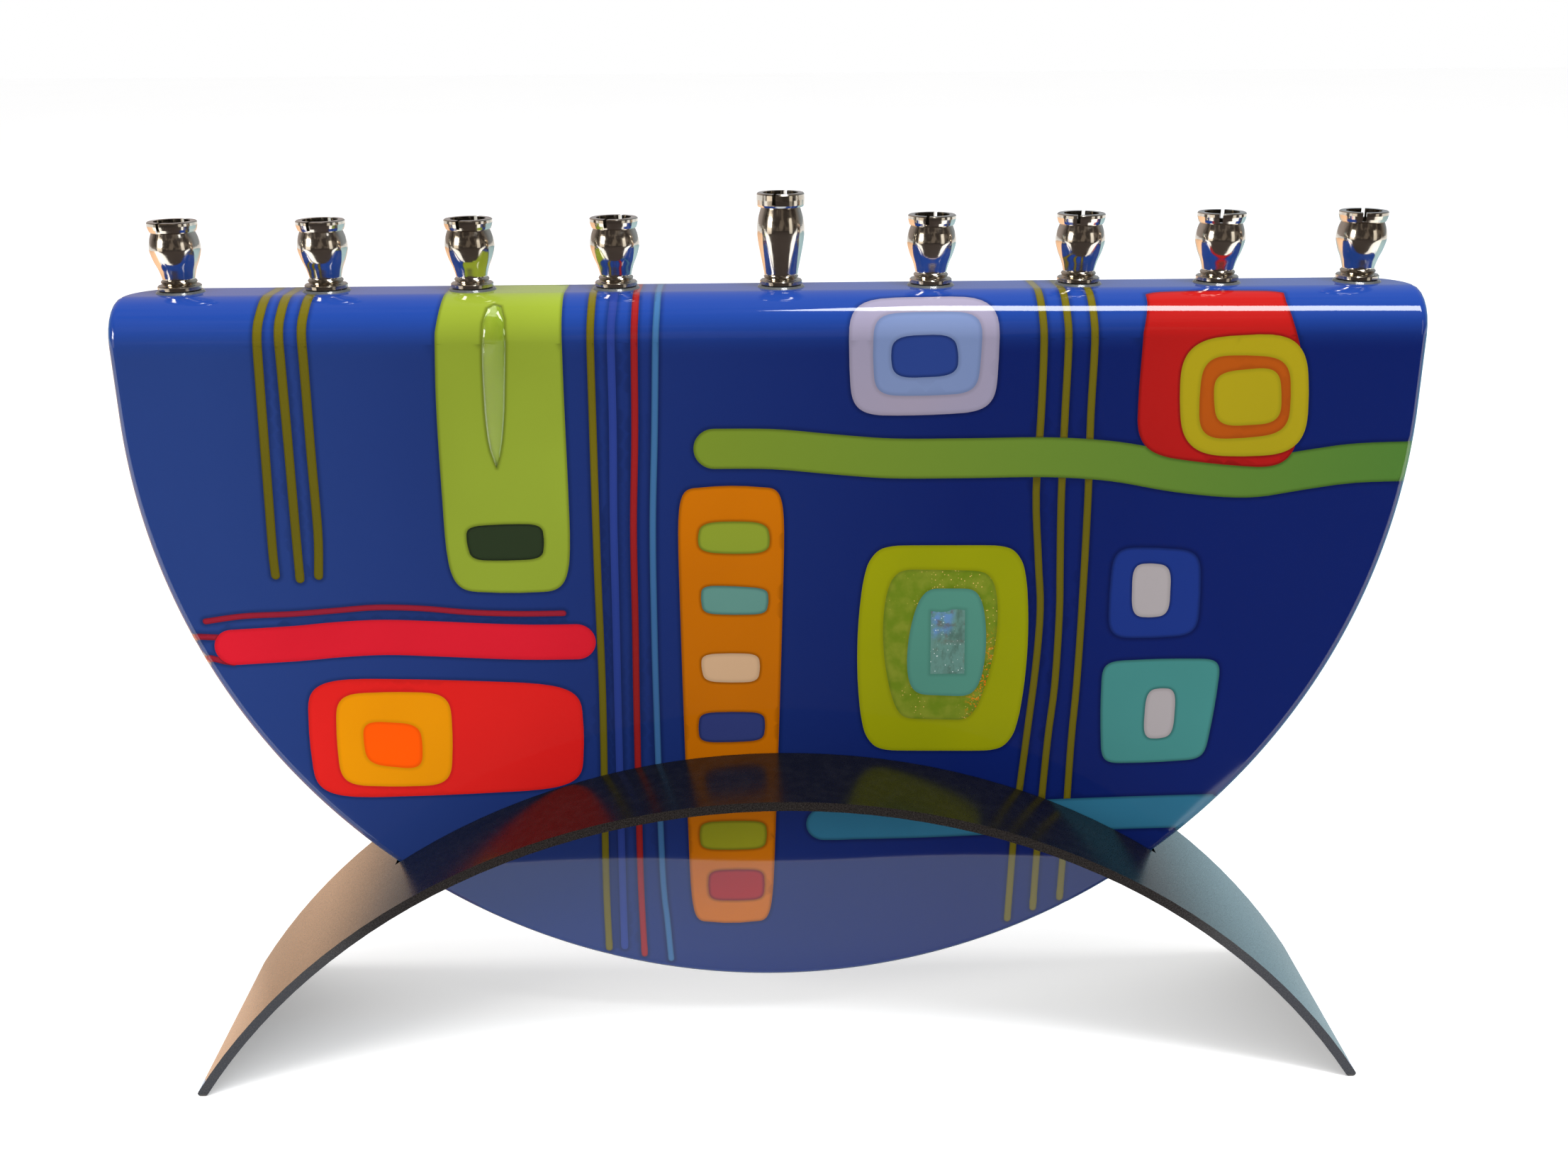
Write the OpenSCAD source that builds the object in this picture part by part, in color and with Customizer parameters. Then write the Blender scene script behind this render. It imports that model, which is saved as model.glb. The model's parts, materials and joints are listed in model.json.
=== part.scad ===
// Menorah: a fused glass panel, bent back at the top into a shelf that carries
// nine metal candle cups, standing in the slot of an arched steel strip.
// Millimetres. +Z is up, the front of the panel faces -Y, +X is to the right.

/* [Glass panel] */
// Radius of the half-disc outline
glass_r = 195.5; // [150:0.5:230]
// Height of the half disc's centre above the table
glass_cz = 213.8; // [170:0.1:260]
// Thickness of the fused glass
glass_t = 6; // [4:0.5:10]
// Outer radius of the bend between the upright face and the shelf
bend_r = 13; // [8:0.5:16]
// Height of the shelf's top face above the table
shelf_z = 248.5; // [200:0.5:300]
// Depth from the front face to the back edge of the shelf
shelf_d = 30; // [28:0.5:50]
// Corner radius of the shelf, seen from above
shelf_corner = 16; // [6:0.5:17]

/* [Coloured glass] */
// Depth of one layer of coloured glass, stacked up to four deep
layer = 0.7; // [0.4:0.05:0.8]
// Width of the thin drawn stringers
stringer_w = 2.3; // [1:0.1:4]
// Height of the clear icicle above the face
icicle_rise = 0.9; // [0.2:0.1:2]

/* [Arch stand] */
// Width of the steel strip
strip_w = 76; // [50:1:120]
// Thickness of the steel strip
strip_t = 3; // [2:0.5:6]
// Outer radius of the arch
arch_r = 224; // [180:1:300]
// Height of the arch's crown above the table
apex_h = 102; // [60:1:140]
// Play on each side of the glass in the slot
slot_play = 0.4; // [0.3:0.05:1]
// Rounding of the corners at the feet
foot_round = 0.9; // [0.2:0.1:1.2]

/* [Candle cups] */
// Height of the eight equal cups
cup_h = 20.5; // [16:0.5:30]
// Height of the shamash cup
shamash_h = 27.3; // [22:0.1:40]
// Radius of the candle bore
bore_r = 5.25; // [4:0.05:6]
// Depth of the candle bore
bore_d = 14; // [8:0.5:16]
// Width of the slit across each rim
slit_w = 1; // [0.5:0.1:2]
// Turn of the slit away from the front-to-back line
slit_turn = -17; // [-45:1:45]
// Distance of the cup axes behind the front face
cup_back = 20; // [18:0.5:22]
// Thickness of the clear adhesive under each cup
pad_t = 0.6; // [0.3:0.1:1]

/* [Hidden] */
$fn = 96;
front_y = -glass_t / 2;
back_y = front_y + shelf_d;
nose = glass_t / 2;
bend_y = front_y + bend_r;
bend_z = shelf_z - bend_r;
cup_y = front_y + cup_back;
cup_x = [-178.5, -134.5, -90.5, -47, 48.5, 93.5, 136, 179];
shamash_x = 3;
pad_r = 7.2;
arch_cz = apex_h - arch_r;
over = 320;

// where the glass edge meets the top of the strip
centre_gap = glass_cz - arch_cz;
seat_a = (pow(arch_r, 2) - pow(glass_r, 2) + pow(centre_gap, 2)) / (2 * centre_gap);
seat_angle = acos(seat_a / arch_r);
slot_angle = seat_angle + 0.12;

// rounded corners of the right foot: circle centres, and where they meet the two faces
arch_centre = [0, arch_cz];
heel_in = [sqrt(pow(arch_r - strip_t + foot_round, 2) - pow(foot_round - arch_cz, 2)), foot_round];
heel_out = [sqrt(pow(arch_r - foot_round, 2) - pow(foot_round - arch_cz, 2)), foot_round];
toe_in = arch_centre + (heel_in - arch_centre) * (arch_r - strip_t) / norm(heel_in - arch_centre);
toe_out = arch_centre + (heel_out - arch_centre) * arch_r / norm(heel_out - arch_centre);
sole = (toe_out - toe_in) / norm(toe_out - toe_in);
function mirrored(p) = [-p[0], p[1]];

blue = [0.08, 0.15, 0.52];
olive = [0.52, 0.46, 0.10];
lime = [0.62, 0.72, 0.17];
dark_green = [0.06, 0.22, 0.13];
clear = [0.80, 0.90, 0.80];
periwinkle = [0.25, 0.32, 0.70];
red = [0.80, 0.12, 0.10];
sky = [0.32, 0.52, 0.78];
crimson = [0.85, 0.10, 0.18];
scarlet = [0.87, 0.13, 0.14];
amber = [0.93, 0.62, 0.06];
orange = [0.95, 0.40, 0.04];
marigold = [0.87, 0.53, 0.04];
leaf = [0.40, 0.58, 0.20];
lavender = [0.66, 0.68, 0.85];
pale_blue = [0.45, 0.58, 0.86];
mid_blue = [0.20, 0.33, 0.72];
yellow = [0.80, 0.78, 0.16];
chartreuse = [0.66, 0.74, 0.10];
gold_green = [0.50, 0.52, 0.16];
teal = [0.30, 0.66, 0.70];
silver = [0.55, 0.72, 0.75];
cream = [0.88, 0.84, 0.78];
white = [0.88, 0.89, 0.92];
black = [0.05, 0.05, 0.05];
chrome = [0.72, 0.70, 0.68];

// ---------- outlines ----------

function flip(v, n) = (v < 0 ? -1 : 1) * pow(abs(v), 2 / n);

// a place among four corners: low left, low right, high right, high left
function among(c, u, v) =
    (1 - u) * (1 - v) * c[0] + u * (1 - v) * c[1] + u * v * c[2] + (1 - u) * v * c[3];

// pillow-shaped outline held by four corners
function soft_quad(c, n, steps) = [for (i = [0:steps - 1])
    let (t = (i + 0.5) * 360 / steps)
    among(c, (1 + flip(cos(t), n)) / 2, (1 + flip(sin(t), n)) / 2)];

module soft_shape(c, n, steps) {
    polygon(soft_quad(c, n, steps));
}

// barrel-shaped outline: tight corners, the two sides bulging outwards
module barrel_shape(c, n, bulge, steps) {
    polygon([for (i = [0:steps - 1])
        let (t = (i + 0.5) * 360 / steps,
             reach = pow(pow(abs(cos(t)), n) + pow(abs(sin(t)), n), -1 / n),
             v = (1 + reach * sin(t)) / 2,
             u = (1 + reach * cos(t) * (1 + 4 * bulge * v * (1 - v))) / 2)
        among(c, u, v)]);
}

// a curve through a few points, and the round-ended ribbon of glass laid along it
function curve_at(p, i, t) =
    let (a = p[max(i - 1, 0)], b = p[i], c = p[i + 1], d = p[min(i + 2, len(p) - 1)])
    0.5 * (2 * b + (c - a) * t + (2 * a - 5 * b + 4 * c - d) * t * t
        + (3 * b - 3 * c + d - a) * t * t * t);
function curve(p, n) = concat([for (i = [0:len(p) - 2]) for (k = [0:n - 1]) curve_at(p, i, k / n)],
    [p[len(p) - 1]]);
function side_of(a, b) = [b[1] - a[1], a[0] - b[0]] / norm(b - a);
function edge_of(q, w, s) = [for (i = [0:len(q) - 1])
    q[i] + s * w / 2 * side_of(q[max(i - 1, 0)], q[min(i + 1, len(q) - 1)])];
function turned(list) = [for (i = [len(list) - 1:-1:0]) list[i]];

function cap(c, side, w, n) = [for (k = [1:n - 1])
    c + w / 2 * (cos(k * 180 / n) * side + sin(k * 180 / n) * [-side[1], side[0]])];

module ribbon(path, w, n = 5, steps = 8) {
    line = curve(path, n);
    last = len(line) - 1;
    polygon(concat(
        edge_of(line, w, 1), cap(line[last], side_of(line[last - 1], line[last]), w, steps),
        turned(edge_of(line, w, -1)), cap(line[0], -side_of(line[0], line[1]), w, steps)));
}

// ---------- sheets ----------

// section of the bent sheet between two depths under its outer face, drawn in y and z
module bent_section(d0, d1, back) {
    translate([front_y + d0, 0]) square([d1 - d0, bend_z]);
    translate([bend_y, bend_z]) intersection() {
        difference() {
            circle(r = bend_r - d0);
            circle(r = bend_r - d1);
        }
        translate([-bend_r - 5, 0]) square(bend_r + 5);
    }
    translate([bend_y, shelf_z - d1]) square([back - bend_y, d1 - d0]);
}

// a piece of sheet in the upright face, from depth d0 to depth d1
module face_piece(d0, d1) {
    translate([0, front_y + d1, 0]) rotate([90, 0, 0]) linear_extrude(d1 - d0) children();
}

// a piece of sheet that follows the bend, up to the line y = back on the shelf
module bent_piece(d0, d1, back) {
    intersection() {
        translate([-over / 2 - 60, 0, 0]) rotate([90, 0, 90]) linear_extrude(over + 120)
            bent_section(d0, d1, back);
        translate([0, back, 0]) rotate([90, 0, 0]) linear_extrude(back - front_y + 5) children();
    }
}

module bullnose_strip(half) {
    translate([-half + nose, -nose]) square([2 * half - glass_t, glass_t]);
    translate([-half + nose, 0]) circle(r = nose);
    translate([half - nose, 0]) circle(r = nose);
}

module bullnose_disc(r, angle) {
    rotate_extrude(angle = angle, $fn = 360) {
        translate([0, -nose]) square([r - nose, glass_t]);
        translate([r - nose, 0]) intersection() {
            circle(r = nose, $fn = 48);
            translate([0, -nose]) square([nose, glass_t]);
        }
    }
}

// the whole panel before the coloured glass is let into it
module glass_blank() {
    translate([0, 0, glass_cz]) rotate([-90, 0, 0]) bullnose_disc(glass_r, 180);
    translate([0, 0, glass_cz]) linear_extrude(bend_z - glass_cz) bullnose_strip(glass_r);
    translate([0, bend_y, bend_z]) rotate([90, 0, -90]) rotate_extrude(angle = 90)
        translate([bend_r - nose, 0]) rotate([0, 0, 90]) bullnose_strip(glass_r);
    translate([0, back_y - shelf_corner, shelf_z - nose]) rotate([90, 0, 0])
        linear_extrude(back_y - shelf_corner - bend_y) bullnose_strip(glass_r);
    for (s = [0, 1]) mirror([s, 0, 0])
        translate([glass_r - shelf_corner, back_y - shelf_corner, shelf_z - nose])
            bullnose_disc(shelf_corner, 90);
    translate([shelf_corner - glass_r, back_y - shelf_corner, shelf_z - glass_t])
        cube([2 * (glass_r - shelf_corner), shelf_corner - nose, glass_t]);
    translate([shelf_corner - glass_r, back_y - nose, shelf_z - nose]) rotate([0, 90, 0])
        cylinder(r = nose, h = 2 * (glass_r - shelf_corner));
}

// ---------- coloured glass, each shape once ----------

shelf_end = back_y - nose;
bend_end = bend_y + 1;

module olive_a_shape() {
    bent_piece(0, 3 * layer, shelf_end)
        ribbon([[-150.1, over], [-150.1, 280], [-150.1, 250], [-151, 241], [-151.5, 232],
            [-152.4, 209], [-153.2, 188], [-153.8, 172], [-153.8, 164.5]], stringer_w + 0.5);
}
module olive_b_shape() {
    bent_piece(0, 3 * layer, shelf_end)
        ribbon([[-144.1, over], [-144.1, 280], [-144.1, 250], [-144.8, 241], [-145, 230], [-145.5, 205],
            [-146.1, 180], [-146.4, 163.2]], stringer_w + 0.5);
}
module olive_c_shape() {
    bent_piece(0, 3 * layer, shelf_end)
        ribbon([[-137.4, over], [-137.4, 280], [-137.4, 250], [-138.1, 241], [-138.3, 230], [-139, 200],
            [-139.4, 178], [-140.6, 164.2]], stringer_w + 0.5);
}
module lime_shape() {
    low = soft_quad([[-101.3, 158.2], [-62.6, 157.7], [-62.2, 254], [-99.6, 254]], 6.6, 48);
    bent_piece(0, 3 * layer, shelf_end)
        polygon(concat([for (i = [24:47]) low[i]], [[-62.2, 226], [-61.9, 246], [-61.9, over],
            [-97, over], [-97.2, 250], [-99.2, 239], [-100.1, 224]]));
}
module dark_green_shape() {
    face_piece(0, layer)
        soft_shape([[-93.6, 168.3], [-71, 168.5], [-70.6, 180.2], [-94.6, 179.7]], 4.6, 28);
}
module icicle_shape() {
    bent_piece(-icicle_rise, layer, bend_end)
        polygon([[-83.6, 197.9], [-82.2, 202.5], [-80.7, 211], [-79.5, 224], [-78.6, 236],
            [-78.8, 243], [-80, 246.5], [-82, 247], [-84, 246], [-85.2, 242], [-85.8, 232],
            [-86.1, 220], [-86, 211], [-85.2, 203]]);
}
module olive_d_shape() {
    bent_piece(0, 3 * layer, shelf_end)
        ribbon([[-53.2, over], [-53.2, 280], [-53.2, 250], [-53.7, 236], [-54.1, 210], [-54.7, 165],
            [-55, 120], [-56.6, 60], [-56.7, 30.6]], stringer_w);
}
module periwinkle_shape() {
    bent_piece(0, 3 * layer, shelf_end)
        ribbon([[-46.8, over], [-46.8, 280], [-46.8, 250], [-47.6, 238], [-48.1, 210], [-49.1, 180],
            [-49.7, 146], [-50.2, 120], [-51.2, 60], [-51.5, 31]], stringer_w);
}
module red_stringer_shape() {
    bent_piece(0, 3 * layer, shelf_end)
        ribbon([[-40.3, over], [-40.3, 280], [-40.3, 250], [-40.8, 236], [-41.6, 208], [-43.1, 178],
            [-43.7, 146], [-44.3, 118], [-45.2, 60], [-44.9, 28]], stringer_w - 0.2);
}
module sky_shape() {
    bent_piece(0, 3 * layer, shelf_end)
        ribbon([[-33.8, over], [-33.8, 280], [-33.8, 250], [-34.5, 236], [-35.7, 208], [-37.2, 178],
            [-37.8, 146], [-38, 115], [-37.9, 60], [-36.8, 40], [-36, 26]], stringer_w - 0.3);
}
module red_thread_shape() {
    face_piece(0, 3 * layer)
        ribbon([[-177, 149.6], [-165, 151.2], [-150, 151.7], [-137, 152.6], [-124, 153.5],
            [-110, 153], [-95, 151.5], [-80, 150.8], [-66, 150.8]], 1.9);
}
module crimson_shape() {
    face_piece(0, 2 * layer)
        ribbon([[-169.4, 140.8], [-150, 141.8], [-137, 142.9], [-122, 143.5], [-105, 142.7],
            [-88, 141.7], [-75, 141.2], [-62.2, 141.2]], 11.8, 4, 14);
}
module stub_shape(z, fall) {
    intersection() {
        face_piece(0, 3 * layer) ribbon([[-188, z], [-170, z - fall]], 2, 1);
        translate([0, 0, glass_cz]) rotate([-90, 0, 0]) bullnose_disc(glass_r, 180);
    }
}
module red_stub_upper_shape() stub_shape(145, 1);
module red_stub_lower_shape() stub_shape(140, 4.4);
module scarlet_shape() {
    face_piece(0, 3 * layer)
        soft_shape([[-149.3, 87.4], [-62.4, 90], [-61.2, 126.9], [-148.3, 130.5]], 5.6, 44);
}
module amber_shape() {
    face_piece(0, 2 * layer)
        soft_shape([[-140.9, 92.2], [-104.7, 91.7], [-102.7, 124.7], [-139.6, 124.9]], 5.1, 36);
}
module orange_square_shape() {
    face_piece(0, layer)
        soft_shape([[-131.8, 99.9], [-113.7, 97.6], [-113.1, 113.7], [-131.9, 115.2]], 3.8, 36);
}
module marigold_shape() {
    face_piece(0, 2 * layer)
        soft_shape([[-28.8, 40], [-1.6, 39.8], [3.8, 190.8], [-29.8, 191]], 10, 44);
}
module leaf_shape() {
    intersection() {
        difference() {
            face_piece(0, 2 * layer)
                ribbon([[-17.9, 203], [0, 202.7], [18, 200.9], [36, 199.4], [60, 199.2],
                    [84, 199.2], [104, 197.6], [124, 193.9], [145, 192], [162, 194.3],
                    [178, 196.3], [204, 196.8]], 12.5, 3, 14);
            red_block_shape();
            yellow_square_shape();
        }
        translate([0, 0, glass_cz]) union() {
            rotate([-90, 0, 0]) bullnose_disc(glass_r, 180);
            linear_extrude(5) bullnose_strip(glass_r);
        }
    }
}
module lavender_shape() {
    bent_piece(0, 3 * layer, bend_end)
        soft_shape([[23.4, 212.4], [66.9, 213.3], [67.4, 247.2], [22.2, 246.8]], 5, 40);
}
module pale_blue_shape() {
    bent_piece(0, 2 * layer, bend_end)
        soft_shape([[30.2, 218.5], [61.4, 219], [62.4, 243.4], [29.6, 243.2]], 5, 36);
}
module mid_blue_shape() {
    bent_piece(0, layer, bend_end)
        soft_shape([[35.5, 223.9], [55.6, 224.6], [54.4, 237.2], [35, 236.7]], 3.5, 28);
}
module olive_e_shape() {
    bent_piece(0, 3 * layer, shelf_end)
        ribbon([[79.6, over], [79.6, 280], [79.6, 250], [80.5, 234], [80.6, 212], [80.2, 188],
            [81.9, 166], [83.2, 150], [82.6, 130], [80.6, 104], [78.4, 75], [77.5, 50],
            [77.2, 39.4]], stringer_w, 4);
}
module olive_f_shape() {
    bent_piece(0, 3 * layer, shelf_end)
        ribbon([[86.9, over], [86.9, 280], [86.9, 250], [87.8, 234], [87.8, 212], [88, 186],
            [88.7, 165], [89.3, 148], [89, 124], [87.6, 104], [86.2, 70], [85.6, 43.5]],
            stringer_w, 4);
}
module olive_g_shape() {
    bent_piece(0, 3 * layer, shelf_end)
        ribbon([[94.7, over], [94.7, 280], [94.7, 250], [95.6, 234], [95.6, 212], [96.2, 186],
            [96.3, 150], [96, 124], [95.3, 104], [94.9, 70], [94.4, 47.2]], stringer_w, 4);
}
module red_block_shape() {
    low = soft_quad([[109.4, 199.6], [159.4, 193.8], [159.4, 245], [110.2, 245]], 4.7, 44);
    intersection() {
        bent_piece(0, 4 * layer, shelf_end)
            polygon(concat([for (i = [22:43]) low[i]], [[159, 226], [157.1, 232], [154.7, 239],
                [152.8, 245], [152.4, over], [111.6, over], [111.4, 245], [109.9, 237]]));
        linear_extrude(over)
            soft_shape([[80, -30], [195, -30], [153.5, 5.5], [110.5, 5.5]], 8, 32);
    }
}
module yellow_square_shape() {
    bent_piece(0, 3 * layer, bend_end)
        soft_shape([[123.6, 198.9], [162.6, 198.9], [159.2, 236.8], [120.8, 235.1]], 3.4, 40);
}
module orange_ring_shape() {
    face_piece(0, 2 * layer)
        soft_shape([[128.5, 203.8], [156.4, 205.5], [154.6, 229.4], [127.8, 230.2]], 3.8, 36);
}
module yellow_centre_shape() {
    face_piece(0, layer)
        soft_shape([[133.6, 208.1], [153.7, 209], [151.7, 226.5], [131.5, 224.8]], 3.7, 36);
}
module chartreuse_shape() {
    face_piece(0, 4 * layer)
        barrel_shape([[29, 102.2], [76, 101.4], [76.9, 171.3], [29.4, 171.8]], 8, 0.14, 56);
}
module gold_green_shape() {
    face_piece(0, 3 * layer)
        barrel_shape([[39.1, 113.4], [63, 112.4], [68, 163], [36.8, 164]], 8, 0.28, 56);
}
module teal_centre_shape() {
    face_piece(0, 2 * layer)
        barrel_shape([[43, 121.7], [63.8, 120.6], [64.1, 157.2], [46.2, 157.5]], 6, 0.27, 48);
}
module silver_chip_shape() {
    face_piece(0, layer)
        polygon([[49.2, 128.7], [60, 128.6], [59.6, 150.1], [55.8, 150.4], [53.6, 149.6],
            [48.9, 149.9]]);
}
module blue_block_shape() {
    face_piece(0, 2 * layer)
        soft_shape([[104.7, 139.7], [133.8, 140.4], [132.6, 169.1], [104.8, 170.6]], 4.9, 36);
}
module white_chip_upper_shape() {
    face_piece(0, layer)
        soft_shape([[112.1, 146.9], [124, 147.1], [123.5, 164.4], [111.3, 165]], 3.8, 28);
}
module teal_block_shape() {
    face_piece(0, 2 * layer)
        soft_shape([[105.3, 96.2], [139.2, 97.3], [142.1, 132.8], [103.5, 132.4]], 7.6, 36);
}
module white_chip_lower_shape() {
    face_piece(0, layer)
        soft_shape([[118.5, 104.8], [128.2, 105.5], [128.1, 122.7], [118.5, 122.4]], 3.6, 28);
}
module teal_bar_shape() {
    intersection() {
        face_piece(0, 2 * layer)
            ribbon([[15.6, 76], [50, 76.4], [90, 77.8], [120, 78.5], [150, 78.9]], 11.9, 3, 14);
        translate([0, 0, glass_cz]) rotate([-90, 0, 0]) bullnose_disc(glass_r, 180);
    }
}

// ---------- the pieces ----------

module glass_base() {
    color(blue) difference() {
        glass_blank();
        olive_a_shape();
        olive_b_shape();
        olive_c_shape();
        lime_shape();
        olive_d_shape();
        periwinkle_shape();
        red_stringer_shape();
        sky_shape();
        red_thread_shape();
        crimson_shape();
        red_stub_upper_shape();
        red_stub_lower_shape();
        scarlet_shape();
        marigold_shape();
        leaf_shape();
        lavender_shape();
        olive_e_shape();
        olive_f_shape();
        olive_g_shape();
        red_block_shape();
        yellow_square_shape();
        chartreuse_shape();
        blue_block_shape();
        teal_block_shape();
        teal_bar_shape();
    }
}

module olive_stringer_a() color(olive) olive_a_shape();
module olive_stringer_b() color(olive) olive_b_shape();
module olive_stringer_c() color(olive) olive_c_shape();
module lime_panel() color(lime) difference() {
    lime_shape();
    dark_green_shape();
    icicle_shape();
}
module dark_green_tile() color(dark_green) dark_green_shape();
module clear_icicle() color(clear) icicle_shape();
module olive_stringer_d() color(olive) olive_d_shape();
module periwinkle_stringer() color(periwinkle) periwinkle_shape();
module red_stringer() color(red) red_stringer_shape();
module sky_stringer() color(sky) sky_shape();
module red_thread() color(red) red_thread_shape();
module crimson_bar() color(crimson) crimson_shape();
module red_stub_upper() color(red) difference() {
    red_stub_upper_shape();
    crimson_shape();
}
module red_stub_lower() color(red) difference() {
    red_stub_lower_shape();
    crimson_shape();
}
module scarlet_panel() color(scarlet) difference() {
    scarlet_shape();
    amber_shape();
}
module amber_square() color(amber) difference() {
    amber_shape();
    orange_square_shape();
}
module orange_square() color(orange) orange_square_shape();

// the seven tiles down the tall strip, from the top: corners, and how square they are
tiles = [[[[-23.7, 169.9], [-1.2, 169.4], [-1.7, 179.9], [-23, 180.1]], 3.6],
    [[[-22.7, 149.8], [-2.4, 149.4], [-1.8, 158.3], [-23, 159.6]], 4.6],
    [[[-22.8, 126.9], [-5.2, 126.5], [-4.8, 136.5], [-23.6, 136.6]], 4.2],
    [[[-24.8, 105.8], [-3.8, 106.1], [-3.4, 116.3], [-24.5, 116.5]], 4.5],
    [[[-24.6, 84.8], [-3, 84.8], [-3, 96.2], [-24.6, 96.2]], 4.5],
    [[[-25.2, 67], [-3.6, 67], [-3.2, 77.5], [-25.2, 77.5]], 4.5],
    [[[-22.8, 48], [-4.4, 48], [-4.2, 59.5], [-22.8, 59.5]], 4.5]];
module tile(i, c) {
    color(c) face_piece(0, layer) soft_shape(tiles[i][0], tiles[i][1], 28);
}
module marigold_strip() color(marigold) difference() {
    marigold_shape();
    for (i = [0:6]) tile(i, white);
}
module tile_green() tile(0, leaf);
module tile_teal() tile(1, teal);
module tile_cream() tile(2, cream);
module tile_blue() tile(3, mid_blue);
module tile_shaded() tile(4, dark_green);
module tile_lime() tile(5, lime);
module tile_red() tile(6, crimson);

module leaf_wave() color(leaf) leaf_shape();
module lavender_block() color(lavender) difference() {
    lavender_shape();
    pale_blue_shape();
}
module pale_blue_ring() color(pale_blue) difference() {
    pale_blue_shape();
    mid_blue_shape();
}
module mid_blue_centre() color(mid_blue) mid_blue_shape();
module olive_stringer_e() color(olive) difference() {
    olive_e_shape();
    leaf_shape();
    teal_bar_shape();
}
module olive_stringer_f() color(olive) difference() {
    olive_f_shape();
    leaf_shape();
    teal_bar_shape();
}
module olive_stringer_g() color(olive) difference() {
    olive_g_shape();
    leaf_shape();
    teal_bar_shape();
}
module red_block() color(red) difference() {
    red_block_shape();
    yellow_square_shape();
}
module yellow_square() color(yellow) difference() {
    yellow_square_shape();
    orange_ring_shape();
}
module orange_ring() color(orange) difference() {
    orange_ring_shape();
    yellow_centre_shape();
}
module yellow_centre() color(yellow) yellow_centre_shape();
module chartreuse_block() color(chartreuse) difference() {
    chartreuse_shape();
    gold_green_shape();
}
module gold_green_ring() color(gold_green) difference() {
    gold_green_shape();
    teal_centre_shape();
}
module teal_centre() color(teal) difference() {
    teal_centre_shape();
    silver_chip_shape();
}
module silver_chip() color(silver) silver_chip_shape();
module blue_block() color(mid_blue) difference() {
    blue_block_shape();
    white_chip_upper_shape();
}
module white_chip_upper() color(white) white_chip_upper_shape();
module teal_block() color(teal) difference() {
    teal_block_shape();
    white_chip_lower_shape();
}
module white_chip_lower() color(white) white_chip_lower_shape();
module teal_bar() color(teal) teal_bar_shape();

// flat bar bent to an arc, its feet dressed flat with rounded corners
module arch_section() {
    intersection() {
        translate(arch_centre) difference() {
            circle(r = arch_r, $fn = 360);
            circle(r = arch_r - strip_t, $fn = 360);
        }
        polygon([mirrored(toe_in - 30 * sole), toe_in - 30 * sole, toe_out + 30 * sole,
            [over, over], [-over, over], mirrored(toe_out + 30 * sole)]);
    }
    for (s = [0, 1]) mirror([s, 0]) {
        polygon([toe_in, heel_in, [heel_in[0], 0], [heel_out[0], 0], heel_out, toe_out]);
        translate(heel_in) circle(r = foot_round, $fn = 48);
        translate(heel_out) circle(r = foot_round, $fn = 48);
    }
}

module arch_stand() {
    color(black) difference() {
        translate([0, strip_w / 2, 0]) rotate([90, 0, 0]) linear_extrude(strip_w) arch_section();
        translate([0, 0, arch_cz]) rotate([90, slot_angle - 90, 0])
            rotate_extrude(angle = 2 * slot_angle)
                translate([arch_r - strip_t - 4, -nose - slot_play])
                    square([strip_t + 8, glass_t + 2 * slot_play]);
    }
}

// outer half section of a cup: foot plate, bead, waist, belly, neck, collar
function cup_outline(low, high) = concat([[0, 0], [5.9, 0], [6.4, 0.4], [6.4, 1.3], [6.1, 1.6],
    [5.4, 1.75], [4.95, 2.1], [5.15, 2.35], [5.3, 2.65], [5.15, 2.95]], curve(low, 6), high);
small_body = [[4.85, 3.2], [4.75, 3.8], [5.5, 6.4], [6.5, 8.8], [7.3, 11.6], [7.4, 13.2],
    [7, 15.4], [6.3, 17.3]];
small_collar = [[6.7, 17.6], [7.0, 18.4], [7.25, 19.4], [7.25, 20.2], [6.95, cup_h], [0, cup_h]];
tall_body = [[5.1, 3.2], [5.15, 3.9], [5.7, 6.8], [6.5, 10.8], [7.05, 14.2], [7.2, 16.8],
    [6.8, 19.9], [5.9, 23]];
tall_collar = [[6.8, 23.3], [7.15, 23.9], [7.2, 25.4], [7.15, 26.9], [6.85, shamash_h],
    [0, shamash_h]];

module cup(x, body, collar, h, slit_depth) {
    color(chrome) translate([x, cup_y, shelf_z + pad_t]) difference() {
        rotate_extrude($fn = 96) polygon(cup_outline(body, collar));
        translate([0, 0, h - bore_d]) cylinder(r = bore_r, h = bore_d + 1, $fn = 96);
        rotate([0, 0, slit_turn]) translate([-slit_w / 2, -10, h - slit_depth])
            cube([slit_w, 20, slit_depth + 1]);
    }
}
module small_cup(i) cup(cup_x[i], small_body, small_collar, cup_h, 2.6);
module candle_cup_1() small_cup(0);
module candle_cup_2() small_cup(1);
module candle_cup_3() small_cup(2);
module candle_cup_4() small_cup(3);
module candle_cup_5() small_cup(4);
module candle_cup_6() small_cup(5);
module candle_cup_7() small_cup(6);
module candle_cup_8() small_cup(7);
module shamash_cup() cup(shamash_x, tall_body, tall_collar, shamash_h, 3.4);

module adhesive_pads() {
    color(clear) for (x = concat(cup_x, [shamash_x]))
        translate([x, cup_y, shelf_z])
            rotate_extrude() polygon([[0, 0], [pad_r, 0], [pad_r - 0.5, pad_t], [0, pad_t]]);
}

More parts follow.
